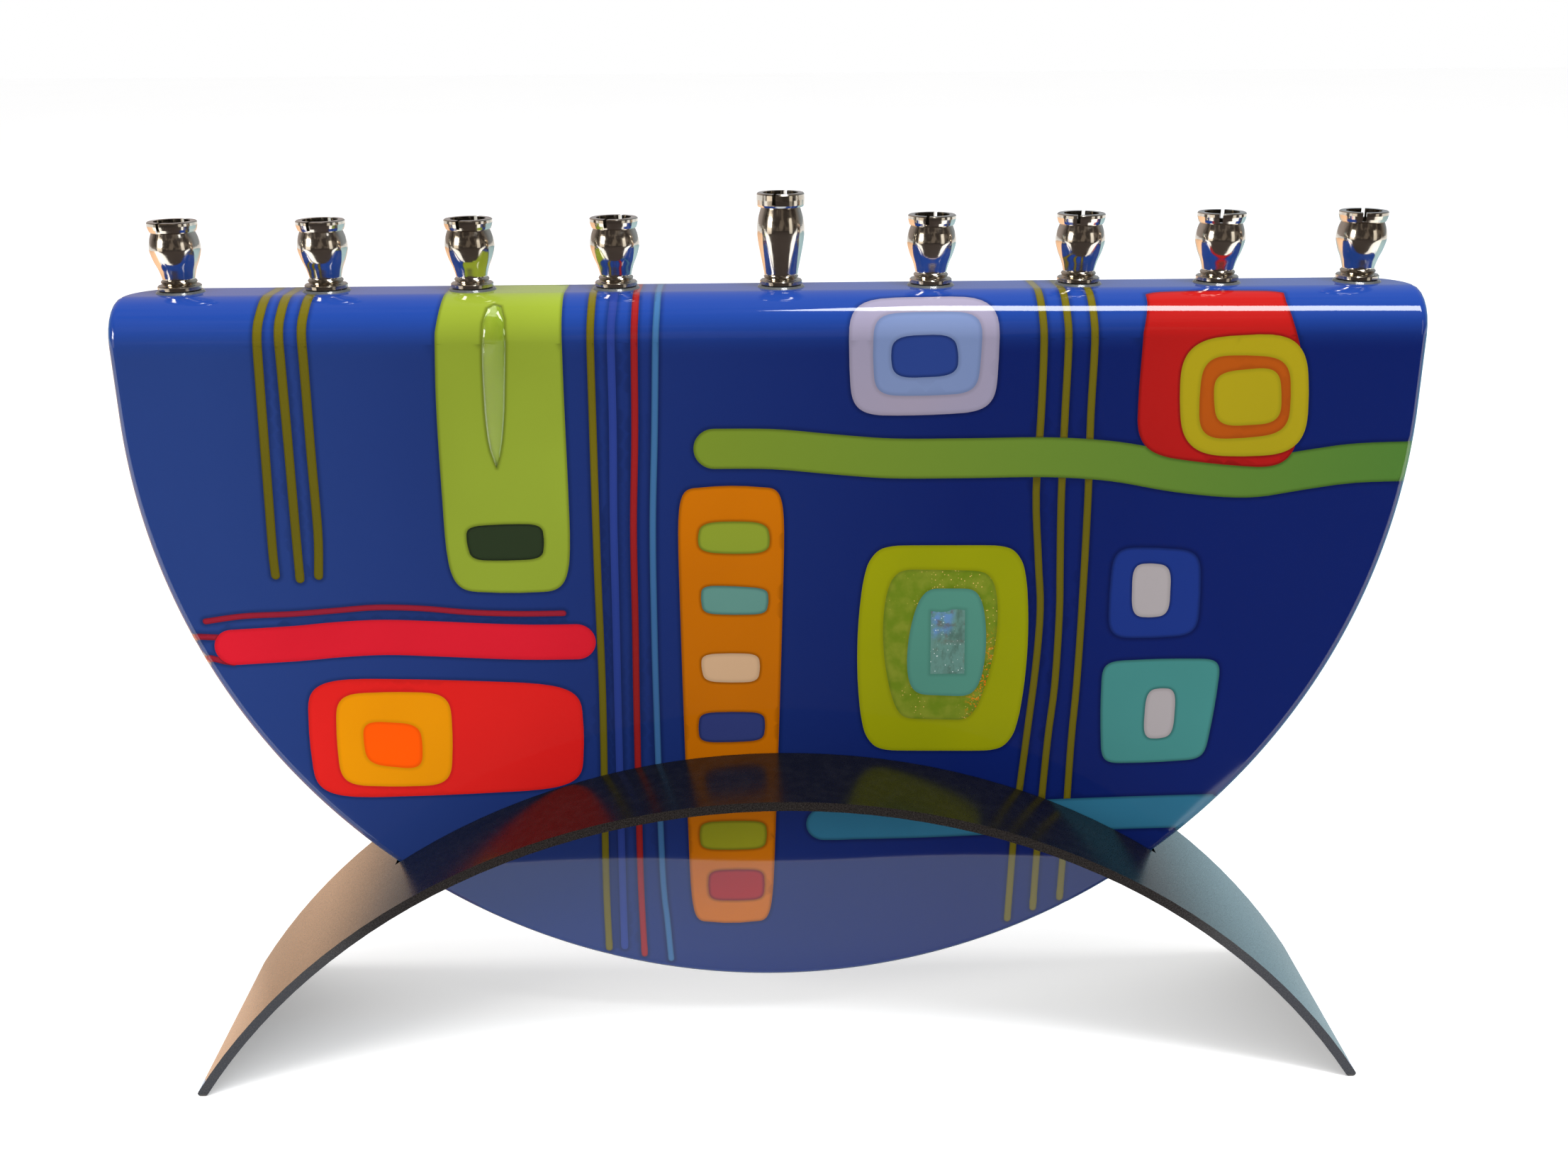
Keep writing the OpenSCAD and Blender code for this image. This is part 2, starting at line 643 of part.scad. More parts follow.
glass_base();
olive_stringer_a();
olive_stringer_b();
olive_stringer_c();
lime_panel();
dark_green_tile();
clear_icicle();
olive_stringer_d();
periwinkle_stringer();
red_stringer();
sky_stringer();
red_thread();
crimson_bar();
red_stub_upper();
red_stub_lower();
scarlet_panel();
amber_square();
orange_square();
marigold_strip();
tile_green();
tile_teal();
tile_cream();
tile_blue();
tile_shaded();
tile_lime();
tile_red();
leaf_wave();
lavender_block();
pale_blue_ring();
mid_blue_centre();
olive_stringer_e();
olive_stringer_f();
olive_stringer_g();
red_block();
yellow_square();
orange_ring();
yellow_centre();
chartreuse_block();
gold_green_ring();
teal_centre();
silver_chip();
blue_block();
white_chip_upper();
teal_block();
white_chip_lower();
teal_bar();
arch_stand();
candle_cup_1();
candle_cup_2();
candle_cup_3();
candle_cup_4();
shamash_cup();
candle_cup_5();
candle_cup_6();
candle_cup_7();
candle_cup_8();
adhesive_pads();
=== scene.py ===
"""Looks of the menorah: a fused glass panel with candle cups, standing in an arched strip."""

import json
import math

import bmesh
import bpy
import numpy as np
from mathutils import Matrix, Vector
from mathutils.geometry import delaunay_2d_cdt

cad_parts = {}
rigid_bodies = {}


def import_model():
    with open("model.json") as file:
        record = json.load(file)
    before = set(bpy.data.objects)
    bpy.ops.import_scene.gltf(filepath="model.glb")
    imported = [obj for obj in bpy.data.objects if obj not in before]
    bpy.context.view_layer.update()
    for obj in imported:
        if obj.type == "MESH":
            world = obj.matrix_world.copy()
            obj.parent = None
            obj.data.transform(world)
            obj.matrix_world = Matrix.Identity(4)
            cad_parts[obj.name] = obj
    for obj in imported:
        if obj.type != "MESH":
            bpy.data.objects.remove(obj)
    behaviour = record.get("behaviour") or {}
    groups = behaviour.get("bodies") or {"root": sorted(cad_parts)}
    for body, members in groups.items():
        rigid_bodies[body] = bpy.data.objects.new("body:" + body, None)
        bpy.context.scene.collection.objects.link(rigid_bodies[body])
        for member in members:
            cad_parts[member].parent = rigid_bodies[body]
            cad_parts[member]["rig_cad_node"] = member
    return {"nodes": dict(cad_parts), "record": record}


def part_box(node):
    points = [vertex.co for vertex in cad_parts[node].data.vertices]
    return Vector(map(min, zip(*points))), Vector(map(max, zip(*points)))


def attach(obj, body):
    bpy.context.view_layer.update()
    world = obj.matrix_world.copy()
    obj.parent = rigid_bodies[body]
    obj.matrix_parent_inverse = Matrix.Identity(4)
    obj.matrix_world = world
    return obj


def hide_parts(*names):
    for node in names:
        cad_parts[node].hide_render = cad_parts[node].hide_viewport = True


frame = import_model()
bpy.context.view_layer.update()
nodes = frame["nodes"]

MM = 0.001

# ---------------------------------------------------------------- the bent sheet, unrolled

# A place on the glass is (x, s) in millimetres: x as in the frame, s the way up the face,
# round the bend and back along the shelf. Depth is measured in from the outer face.
low_corner, high_corner = (np.array(c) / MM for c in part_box("glass_base"))
RADIUS = (high_corner[0] - low_corner[0]) / 2
NOSE = -low_corner[1]
CENTRE_Z = low_corner[2] + RADIUS
BEND = 13.0      # outer radius of the bend, as in the part
CORNER = 16.0    # corner radius of the shelf, as in the part
BEND_Y = BEND - NOSE
BEND_Z = high_corner[2] - BEND
S_SHELF = BEND_Z + BEND * math.pi / 2
S_END = S_SHELF + high_corner[1] - NOSE - BEND_Y
RIM = math.pi * NOSE


def surface(x, s, depth):
    """Points of the bent sheet in millimetres, the outward normal there and the way up."""
    angle = np.clip((s - BEND_Z) / BEND, 0, math.pi / 2)
    radius = BEND - depth
    y = BEND_Y - radius * np.cos(angle) + np.maximum(s - S_SHELF, 0)
    z = BEND_Z + radius * np.sin(angle) + np.minimum(s - BEND_Z, 0)
    normal = np.stack([0 * x, -np.cos(angle), np.sin(angle)], 1)
    upward = np.stack([0 * x, np.sin(angle), np.cos(angle)], 1)
    return np.stack([x, y, z], 1), normal, upward


def flat_part(places):
    """The nearest places on the flat of the sheet, and how far outside it each place lies."""
    x, s = places[:, 0], places[:, 1]
    reach = np.maximum(np.hypot(x, s - CENTRE_Z), 1e-9)
    shrink = np.minimum((RADIUS - NOSE) / reach, 1)
    disc = np.stack([x * shrink, CENTRE_Z + (s - CENTRE_Z) * shrink], 1)
    corner_x, corner_s = RADIUS - CORNER, S_END + NOSE - CORNER
    dx, ds = np.maximum(abs(x) - corner_x, 0), np.maximum(s - corner_s, 0)
    shrink = np.minimum((CORNER - NOSE) / np.maximum(np.hypot(dx, ds), 1e-9), 1)
    square = np.stack([np.sign(x) * (np.minimum(abs(x), corner_x) + dx * shrink),
                       np.minimum(s, corner_s) + ds * shrink], 1)
    inner = np.where((s < CENTRE_Z)[:, None], disc, square)
    return inner, np.linalg.norm(places - inner, axis=1)


def on_glass(places, depth=0.0):
    """Points and normals of the outer skin; places outside the flat part go round the rim."""
    inner, out = flat_part(places)
    away = np.where(out[:, None] > 1e-6, (places - inner) / np.maximum(out, 1e-9)[:, None], 0)
    turn = np.minimum(out / NOSE, math.pi)
    moved = inner + away * (NOSE * np.sin(turn))[:, None]
    point, normal, upward = surface(moved[:, 0], moved[:, 1],
                                    NOSE * (1 - np.cos(turn)) + depth)
    sideways = away[:, :1] * np.array([[1.0, 0, 0]]) + away[:, 1:] * upward
    tilt = normal * np.cos(turn)[:, None] + sideways * np.sin(turn)[:, None]
    return point, tilt


def unroll(points):
    """Places (x, s) and depths of points given in millimetres."""
    x, y, z = points.T
    angle = np.arctan2(z - BEND_Z, BEND_Y - y)
    reach = np.hypot(z - BEND_Z, BEND_Y - y)
    face = z <= BEND_Z
    shelf = ~face & (y >= BEND_Y)
    s = np.where(face, z, np.where(shelf, S_SHELF + y - BEND_Y, BEND_Z + BEND * angle))
    depth = np.where(face, y + NOSE, np.where(shelf, high_corner[2] - z, BEND - reach))
    return np.stack([x, s], 1), depth


# ---------------------------------------------------------------- outlines of the inlays

WELD = 4e-6                        # metres between vertices taken as one
SKIN = 0.03                        # millimetres below a piece's top still counted as its top
SMALLEST_PIECE = 1.0               # square millimetres
SHORTEST_STEP = 0.02               # a shorter step of an outline is left out
SHARP_TURN = math.radians(38)      # a sharper turn is a real corner
TURN_STEP = math.radians(9)        # most turn in one step of a rounded outline
LONGEST_STEP = 6.0                 # millimetres
PROBE = 0.002                      # share by which an outline is grown to see where it leaves
BEYOND_EDGE = 0.25                 # how far outside the flat the grown outline then lies


def area_of(loop):
    x, s = loop[:, 0], loop[:, 1]
    return 0.5 * float(np.sum(x * np.roll(s, -1) - np.roll(x, -1) * s))


def skin_loops(node):
    """Outer outlines of a CAD node where it shows on the glass, unrolled, anticlockwise."""
    mesh = bmesh.new()
    mesh.from_mesh(nodes[node].data)
    bmesh.ops.remove_doubles(mesh, verts=mesh.verts, dist=WELD)
    mesh.verts.index_update()
    mesh.faces.index_update()
    places, depth = unroll(np.array([v.co for v in mesh.verts]) / MM)
    on_skin = depth < depth.min() + SKIN
    shown = {f.index for f in mesh.faces if all(on_skin[v.index] for v in f.verts)}
    follow = {}
    for f in mesh.faces:
        if f.index not in shown:
            continue
        for loop in f.loops:
            if sum(other.index in shown for other in loop.edge.link_faces) == 1:
                follow.setdefault(loop.vert.index, []).append(loop.link_loop_next.vert.index)
    loops = []
    while follow:
        start = next(iter(follow))
        chain, here = [start], start
        while here in follow:
            step = follow[here].pop()
            if not follow[here]:
                del follow[here]
            here = step
            if here == start:
                break
            chain.append(here)
        loop = places[chain]
        if len(loop) > 2 and area_of(loop) > SMALLEST_PIECE:
            loops.append(loop)
    mesh.free()
    return loops


def smoothed(loop):
    """The outline with its long shallow turns rounded off and its real corners kept."""
    keep = np.linalg.norm(loop - np.roll(loop, 1, 0), axis=1) > SHORTEST_STEP
    loop = loop[keep]
    count = len(loop)
    step = np.roll(loop, -1, 0) - loop
    length = np.linalg.norm(step, axis=1)
    heading = step / length[:, None]
    before = np.roll(heading, 1, 0)
    turn = np.arctan2(before[:, 0] * heading[:, 1] - before[:, 1] * heading[:, 0],
                      np.sum(before * heading, axis=1))
    sharp = abs(turn) > SHARP_TURN
    out = []
    for i in range(count):
        j = (i + 1) % count
        a, b = loop[i], loop[j]
        reach = length[i]
        start = heading[i] if sharp[i] else heading[i] * length[i - 1] + before[i] * reach
        end = heading[i] if sharp[j] else heading[i] * length[j] + heading[j] * reach
        start = start / np.linalg.norm(start) * reach
        end = end / np.linalg.norm(end) * reach
        swing = (0 if sharp[i] else abs(turn[i])) + (0 if sharp[j] else abs(turn[j]))
        pieces = max(1, math.ceil(swing / TURN_STEP), math.ceil(reach / LONGEST_STEP))
        for k in range(pieces):
            t = k / pieces
            out.append((2 * t**3 - 3 * t**2 + 1) * a + (t**3 - 2 * t**2 + t) * start
                       + (3 * t**2 - 2 * t**3) * b + (t**3 - t**2) * end)
    return np.array(out)


def run_over_rim(loop, reach):
    """An outline that stops at the flat's edge is led on over the rim, by reach."""
    _, out = flat_part(loop + (loop - np.array([0, CENTRE_Z])) * PROBE)
    edge = out > BEYOND_EDGE
    if not edge.any() or edge.all():
        return loop
    shift = int(np.argmin(edge)) if edge[0] else 0
    loop, edge = (np.roll(a, -shift, 0) for a in (loop, edge))
    away = loop - np.array([0, CENTRE_Z])
    above = loop[:, 1] >= CENTRE_Z
    away[above, 1] = 0
    away /= np.linalg.norm(away, axis=1)[:, None]
    run = np.flatnonzero(edge)
    first, last = run[0], run[-1]
    moved = loop[first:last + 1] + away[first:last + 1] * reach
    return np.concatenate([loop[:first], loop[first:first + 1], moved,
                           loop[last:last + 1], loop[last + 1:]])


# how far round the rim these pieces are led, in millimetres
OVER_THE_RIM = {"leaf_wave": 3.0, "teal_bar": 3.0, "red_stub_upper": 3.8,
                "red_stub_lower": 3.8}
BODY_OF_GLASS = "panel"
inlays = [n for n in frame["record"]["behaviour"]["bodies"][BODY_OF_GLASS]
          if not n.startswith(("glass_base", "candle_cup", "shamash_cup", "adhesive"))]
regions = []
for node in inlays:
    for loop in skin_loops(node):
        loop = smoothed(loop)
        if node in OVER_THE_RIM:
            loop = run_over_rim(loop, OVER_THE_RIM[node])
        regions.append((node, loop, area_of(loop)))

# ---------------------------------------------------------------- one net over the whole skin

# all in millimetres, but for the counts of rows and steps
SOFT_EDGE = 1.6                            # width in which one colour melts into the next
RING_STEPS = (0.3, 0.75, SOFT_EDGE)        # rows of the net beside each outline
LOOK_AROUND = SOFT_EDGE * 1.2              # how far a row looks for an outline nearer than its own
ROW_SLACK, CORNER_SLACK = 0.02, 0.08       # how much nearer it may be
REAL_CORNER = math.radians(30)             # a corner this sharp gets rings of its own
CORNER_SPOTS = 12
RIM_SPACING = 3.0                          # along the rim
RIM_ROWS = 17        # round the rim
BEND_ROWS = 31       # round the bend
BEND_COLUMNS = 80
CORNER_STEPS = 16                          # round each corner of the shelf
BACK_ROWS, BACK_COLUMNS = 17, 60
BACK_MARGIN = 2.0
ICICLE_RISE = 0.9                          # as in the part
ICICLE_SHOULDER = 3.6                      # from its edge to where it is full height
ICICLE_STEPS = (2.3, 3.0)
ICICLE_REACH, ICICLE_SLACK = 4.0, 0.05
LAYER = 0.7                                # depth of one layer of coloured glass
NET_WELD = 1e-4
PLACES_AT_ONCE = 400

starts = np.concatenate([loop for _, loop, _ in regions])
ends = np.concatenate([np.roll(loop, -1, 0) for _, loop, _ in regions])


def edge_distance(places, cap):
    """Distance of each place to the nearest inlay outline, up to cap."""
    found = np.full(len(places), cap)
    way = ends - starts
    span = np.maximum(np.sum(way * way, axis=1), 1e-12)
    order = np.argsort(places[:, 0])
    for block in np.array_split(order, max(1, len(places) // PLACES_AT_ONCE)):
        p = places[block]
        low, high = p.min(0) - cap, p.max(0) + cap
        near = np.all((np.minimum(starts, ends) <= high) & (np.maximum(starts, ends) >= low),
                      axis=1)
        if not near.any():
            continue
        a, w, n = starts[near], way[near], span[near]
        offset = p[:, None, :] - a[None]
        t = np.clip(np.sum(offset * w[None], axis=2) / n[None], 0, 1)
        gap = np.linalg.norm(offset - t[..., None] * w[None], axis=2).min(1)
        found[block] = np.minimum(gap, cap)
    return found


def ring(out):
    """Places along the outline of the flat, moved out by out."""
    half_disc = math.pi * (RADIUS - NOSE)
    side = S_END + NOSE - CORNER - CENTRE_Z
    straight = 2 * (RADIUS - CORNER)
    made = []
    for t in np.linspace(0, 1, int(half_disc / RIM_SPACING), endpoint=False):
        a = -math.pi * t
        made.append((RADIUS - NOSE + out) * np.array([math.cos(a), math.sin(a)])
                    + np.array([0, CENTRE_Z]))
    left = -(RADIUS - NOSE) - out
    for t in np.linspace(0, 1, int(side / RIM_SPACING), endpoint=False):
        made.append(np.array([left, CENTRE_Z + side * t]))
    for t in np.linspace(0, 1, CORNER_STEPS, endpoint=False):
        a = math.pi - math.pi / 2 * t
        made.append((CORNER - NOSE + out) * np.array([math.cos(a), math.sin(a)])
                    + np.array([CORNER - RADIUS, CENTRE_Z + side]))
    for t in np.linspace(0, 1, int(straight / RIM_SPACING), endpoint=False):
        made.append(np.array([CORNER - RADIUS + straight * t, S_END + out]))
    for t in np.linspace(0, 1, CORNER_STEPS, endpoint=False):
        a = math.pi / 2 * (1 - t)
        made.append((CORNER - NOSE + out) * np.array([math.cos(a), math.sin(a)])
                    + np.array([RADIUS - CORNER, CENTRE_Z + side]))
    for t in np.linspace(0, 1, int(side / RIM_SPACING), endpoint=False):
        made.append(np.array([-left, CENTRE_Z + side * (1 - t)]))
    return np.array(made)


net_points, net_edges = [], []


def add_points(places, closed=None):
    """Adds places to the net, and edges along them if they are a closed or an open line."""
    base = sum(len(p) for p in net_points)
    net_points.append(places)
    if closed is not None:
        last = len(places) if closed else len(places) - 1
        net_edges.extend((base + i, base + (i + 1) % len(places)) for i in range(last))


for _, loop, _ in regions:
    add_points(loop, closed=True)
offsets = []
for _, loop, _ in regions:
    way = np.roll(loop, -1, 0) - np.roll(loop, 1, 0)
    way /= np.maximum(np.linalg.norm(way, axis=1), 1e-9)[:, None]
    side = np.stack([way[:, 1], -way[:, 0]], 1)
    for gap in RING_STEPS:
        for sign in (1, -1):
            shifted = loop + side * gap * sign
            offsets.append(shifted[edge_distance(shifted, LOOK_AROUND) > gap - ROW_SLACK])
for _, loop, _ in regions:
    before, after = loop - np.roll(loop, 1, 0), np.roll(loop, -1, 0) - loop
    turn = np.arctan2(before[:, 0] * after[:, 1] - before[:, 1] * after[:, 0],
                      np.sum(before * after, axis=1))
    for corner in loop[abs(turn) > REAL_CORNER]:
        around = np.linspace(0, 2 * math.pi, CORNER_SPOTS, endpoint=False)
        for gap in RING_STEPS:
            spots = corner + gap * np.stack([np.cos(around), np.sin(around)], 1)
            offsets.append(spots[edge_distance(spots, LOOK_AROUND) > gap - CORNER_SLACK])
add_points(np.concatenate(offsets))
rim_turns = np.linspace(0, RIM, RIM_ROWS)
for out in rim_turns:
    add_points(ring(out), closed=True if out in (0, rim_turns[-1]) else None)
flat_half = RADIUS - NOSE
for s in np.linspace(BEND_Z, S_SHELF, BEND_ROWS):
    x = np.linspace(-flat_half, flat_half, BEND_COLUMNS)
    add_points(np.stack([x, np.full_like(x, s)], 1),
               closed=False if s in (BEND_Z, S_SHELF) else None)
for node, loop, _ in regions:
    if node != "clear_icicle":
        continue
    way = np.roll(loop, -1, 0) - np.roll(loop, 1, 0)
    way /= np.linalg.norm(way, axis=1)[:, None]
    side = np.stack([-way[:, 1], way[:, 0]], 1)
    for gap in ICICLE_STEPS:
        shifted = loop + side * gap
        add_points(shifted[edge_distance(shifted, ICICLE_REACH) > gap - ICICLE_SLACK])

points_2d = np.concatenate(net_points)
net = delaunay_2d_cdt([Vector(p) for p in points_2d], net_edges, [], 0, NET_WELD, False)
places = np.array([tuple(v) for v in net[0]])
triangles = np.array([t for t in net[2] if len(t) == 3])
centres = places[triangles].mean(axis=1)
_, far = flat_part(centres)
inside = far < RIM * 0.9999
triangles, centres = triangles[inside], centres[inside]
corners = places[triangles]
turned = ((corners[:, 1, 0] - corners[:, 0, 0]) * (corners[:, 2, 1] - corners[:, 0, 1])
          - (corners[:, 2, 0] - corners[:, 0, 0]) * (corners[:, 1, 1] - corners[:, 0, 1]))
triangles = np.where((turned < 0)[:, None], triangles[:, ::-1], triangles)[abs(turned) > 1e-9]
centres = centres[abs(turned) > 1e-9]


def within(points, loop):
    """Which points lie inside a closed outline."""
    inside = np.zeros(len(points), bool)
    box = np.all((points >= loop.min(0)) & (points <= loop.max(0)), axis=1)
    x, s = points[box, 0][:, None], points[box, 1][:, None]
    a, b = loop[None], np.roll(loop, -1, 0)[None]
    crosses = (a[..., 1] > s) != (b[..., 1] > s)
    rise = np.where(abs(b[..., 1] - a[..., 1]) < 1e-12, 1e-12, b[..., 1] - a[..., 1])
    at = a[..., 0] + (s - a[..., 1]) * (b[..., 0] - a[..., 0]) / rise
    inside[box] = np.sum(crosses & (x < at), axis=1) % 2 == 1
    return inside


owner = np.full(len(centres), -1)
for index in sorted(range(len(regions)), key=lambda i: -regions[i][2]):
    owner[within(centres, regions[index][1])] = index
owner_node = np.array([inlays.index(regions[i][0]) if i >= 0 else -1 for i in owner])
edge_gap = edge_distance(places, SOFT_EDGE) / SOFT_EDGE
_, out_of_flat = flat_part(places)


def glass_mesh(name, faces, lift=None):
    """A mesh of the skin from some of the net's triangles, with its true normals."""
    used, index = np.unique(faces, return_inverse=True)
    point, normal = on_glass(places[used])
    if lift is not None:
        point = point + normal * lift[used][:, None]
    mesh = bpy.data.meshes.new(name)
    mesh.from_pydata((point * MM).tolist(), [], index.reshape(-1, 3).tolist())
    mesh.update()
    mesh.polygons.foreach_set("use_smooth", [True] * len(mesh.polygons))
    for key, values in (("edge", edge_gap[used]), ("rim", out_of_flat[used] / RIM)):
        layer = mesh.attributes.new(key, "FLOAT", "POINT")
        layer.data.foreach_set("value", values.astype(np.float32))
    if lift is None:
        mesh.normals_split_custom_set_from_vertices(normal.tolist())
    piece = bpy.data.objects.new(name, mesh)
    bpy.context.scene.collection.objects.link(piece)
    return piece


def back_mesh():
    """The plain back of the panel, from the rim's end inwards."""
    inner, _ = flat_part(ring(RIM))
    rows = [inner]
    edges = [(i, (i + 1) % len(inner)) for i in range(len(inner))]
    for s in np.linspace(BEND_Z, S_SHELF, BACK_ROWS):
        x = np.linspace(-flat_half + BACK_MARGIN, flat_half - BACK_MARGIN, BACK_COLUMNS)
        rows.append(np.stack([x, np.full_like(x, s)], 1))
    net = delaunay_2d_cdt([Vector(p) for p in np.concatenate(rows)], edges, [], 1, NET_WELD,
                          False)
    spots = np.array([tuple(v) for v in net[0]])
    faces = [list(f)[::-1] for f in net[2]]
    point, normal, _ = surface(spots[:, 0], spots[:, 1], 2 * NOSE)
    return point, -normal, faces


glass_pieces = {}
for number, node in enumerate(inlays):
    lift = None
    if node == "clear_icicle":
        gap = edge_distance(places, ICICLE_SHOULDER) / ICICLE_SHOULDER
        lift = ICICLE_RISE * np.sqrt(1 - (1 - gap) ** 2)
    glass_pieces[node] = glass_mesh("glass_" + node, triangles[owner_node == number], lift)

base_front = glass_mesh("glass_panel", triangles[owner_node == -1])

# the icicle is clear, so the lime shows under it: its pocket's floor belongs to the lime piece
icicle_faces = triangles[owner_node == inlays.index("clear_icicle")]


def join_in(piece, points, normals, faces):
    """Adds more faces to a glass piece, with their own normals, and keeps the old ones."""
    mesh = piece.data
    old = [v.co[:] for v in mesh.vertices]
    old_normals = [v.vector[:] for v in mesh.corner_normals]
    by_vertex = {}
    for loop, normal in zip(mesh.loops, old_normals):
        by_vertex[loop.vertex_index] = normal
    old_faces = [list(p.vertices) for p in mesh.polygons]
    values = {}
    for key in ("edge", "rim"):
        read = np.zeros(len(old), np.float32)
        mesh.attributes[key].data.foreach_get("value", read)
        values[key] = read
    made = bpy.data.meshes.new(mesh.name + "_whole")
    shifted = [[i + len(old) for i in f] for f in faces]
    made.from_pydata(old + (points * MM).tolist(), [], old_faces + shifted)
    made.update()
    made.polygons.foreach_set("use_smooth", [True] * len(made.polygons))
    for key, fill in (("edge", 1.0), ("rim", 0.0)):
        layer = made.attributes.new(key, "FLOAT", "POINT")
        full = np.concatenate([values[key], np.full(len(points), fill, np.float32)])
        layer.data.foreach_set("value", full)
    made.normals_split_custom_set_from_vertices(
        [by_vertex[i] for i in range(len(old))] + normals.tolist())
    piece.data = made


back_points, back_normals, back_faces = back_mesh()
join_in(base_front, back_points, back_normals, back_faces)
used, index = np.unique(icicle_faces, return_inverse=True)
floor_points, floor_normals = on_glass(places[used])
join_in(glass_pieces["lime_panel"], floor_points - floor_normals * LAYER, floor_normals,
        index.reshape(-1, 3).tolist())

# ---------------------------------------------------------------- materials


def linear(r, g, b):
    """A colour given as 0-255 screen values, as Blender's linear RGBA."""
    out = []
    for v in (r, g, b):
        v = v / 255
        out.append(v / 12.92 if v <= 0.04045 else ((v + 0.055) / 1.055) ** 2.4)
    return (*out, 1.0)


GLASS_IOR = 1.5


class Paint:
    """A node material with one Principled shader, and short ways to add nodes to it."""

    def __init__(self, name, roughness=0.04, metallic=0.0):
        self.material = bpy.data.materials.new(name)
        self.material.use_nodes = True
        self.tree = self.material.node_tree
        self.shader = self.tree.nodes["Principled BSDF"]
        self.shader.inputs["Roughness"].default_value = roughness
        self.shader.inputs["Metallic"].default_value = metallic
        self.shader.inputs["IOR"].default_value = GLASS_IOR
        self.where = self.add("ShaderNodeTexCoord").outputs["Object"]

    def add(self, kind, **values):
        node = self.tree.nodes.new(kind)
        for key, value in values.items():
            setattr(node, key, value)
        return node

    def link(self, a, b):
        self.tree.links.new(a, b)

    def noise(self, scale, detail=2.0, stretch=(1, 1, 1), rough=0.5):
        spread = self.add("ShaderNodeMapping")
        spread.inputs["Scale"].default_value = stretch
        self.link(self.where, spread.inputs["Vector"])
        node = self.add("ShaderNodeTexNoise")
        node.inputs["Scale"].default_value = scale
        node.inputs["Detail"].default_value = detail
        node.inputs["Roughness"].default_value = rough
        self.link(spread.outputs["Vector"], node.inputs["Vector"])
        return node.outputs["Fac"]

    def cells(self, scale):
        """The distance to the middle of the nearest of many small cells."""
        node = self.add("ShaderNodeTexVoronoi", feature="F1")
        node.inputs["Scale"].default_value = scale
        self.link(self.where, node.inputs["Vector"])
        return node.outputs["Distance"]

    def ramp(self, value, *stops):
        """value turned into another, smoothly: stops are (from, to) pairs or (from, colour)."""
        node = self.add("ShaderNodeValToRGB")
        node.color_ramp.interpolation = "EASE"
        steps = node.color_ramp.elements
        while len(steps) < len(stops):
            steps.new(0.5)
        for step, (at, what) in zip(steps, stops):
            step.position = at
            step.color = what if isinstance(what, tuple) else (what, what, what, 1)
        self.link(value, node.inputs["Fac"])
        return node.outputs["Color"]

    def mix(self, amount, a, b, blend="MIX"):
        node = self.add("ShaderNodeMix", data_type="RGBA", blend_type=blend)
        for slot, value in ((node.inputs[0], amount), (node.inputs[6], a), (node.inputs[7], b)):
            if isinstance(value, (tuple, float, int)):
                slot.default_value = value
            else:
                self.link(value, slot)
        return node.outputs[2]

    def attribute(self, name):
        return self.add("ShaderNodeAttribute", attribute_name=name).outputs["Fac"]

    def axis(self, which, low, high):
        """How far along an axis, in metres, from 0 at low to 1 at high."""
        apart = self.add("ShaderNodeSeparateXYZ")
        self.link(self.where, apart.inputs[0])
        node = self.add("ShaderNodeMapRange")
        node.inputs["From Min"].default_value = low
        node.inputs["From Max"].default_value = high
        self.link(apart.outputs[which], node.inputs["Value"])
        return node.outputs["Result"]

    def bump(self, height, distance, strength=1.0):
        node = self.add("ShaderNodeBump")
        node.inputs["Strength"].default_value = strength
        node.inputs["Distance"].default_value = distance
        self.link(height, node.inputs["Height"])
        old = self.shader.inputs["Normal"].links
        if old:
            self.link(old[0].from_socket, node.inputs["Normal"])
        self.link(node.outputs["Normal"], self.shader.inputs["Normal"])

    def waves(self):
        """The slight waviness of glass that has been melted flat."""
        self.bump(self.noise(9.0, 1.0), 0.0035, 0.35)

    def colour(self, value):
        self.link(value, self.shader.inputs["Base Color"])


def glass_paint(name, colour, other, halo, halo_to, along=None):
    """Opaque coloured fusing glass: a little uneven, and darker where two colours meet."""
    paint = Paint(name)
    base, other = linear(*colour), linear(*other)
    if along:
        body = paint.mix(paint.axis("X", *along), base, other)
    else:
        uneven = paint.ramp(paint.noise(7.0, 3.0), (0.25, 0.0), (0.75, 1.0))
        body = paint.mix(uneven, base, other)
    dark = paint.ramp(paint.attribute("edge"), (0.0, halo), (halo_to, 1.0))
    body = paint.mix(1.0, body, dark, "MULTIPLY")
    paint.colour(body)
    paint.waves()
    return paint


# the blue sheet: deeper to the right and at inlay edges, painted light on the bend, sea-green
# where light leaves its rim
blue = Paint("glass_blue")
deep = blue.mix(blue.axis("X", -0.17, 0.06), linear(32, 53, 108), linear(9, 25, 84))
cloudy = blue.mix(blue.ramp(blue.noise(5.0, 3.0, (1, 1, 0.6)), (0.3, 0.0), (0.72, 1.0)),
                  deep, blue.mix(0.25, deep, linear(8, 22, 62)))
# painted light: brighter blue towards the top of the bend, where the overhead lamp falls
painted_top_light = blue.mix(blue.ramp(blue.axis("Z", 0.229, 0.2485), (0.1, 0.0), (0.8, 1.0)), cloudy,
               linear(25, 54, 124))
halo = blue.ramp(blue.attribute("edge"), (0.0, 0.62), (1.0, 1.0))
body = blue.mix(1.0, painted_top_light, halo, "MULTIPLY")
rim_tint = blue.ramp(blue.attribute("rim"), (0.12, 0.0), (0.42, 0.55), (0.62, 0.0))
blue.colour(blue.mix(rim_tint, body, linear(70, 130, 150)))
blue.waves()

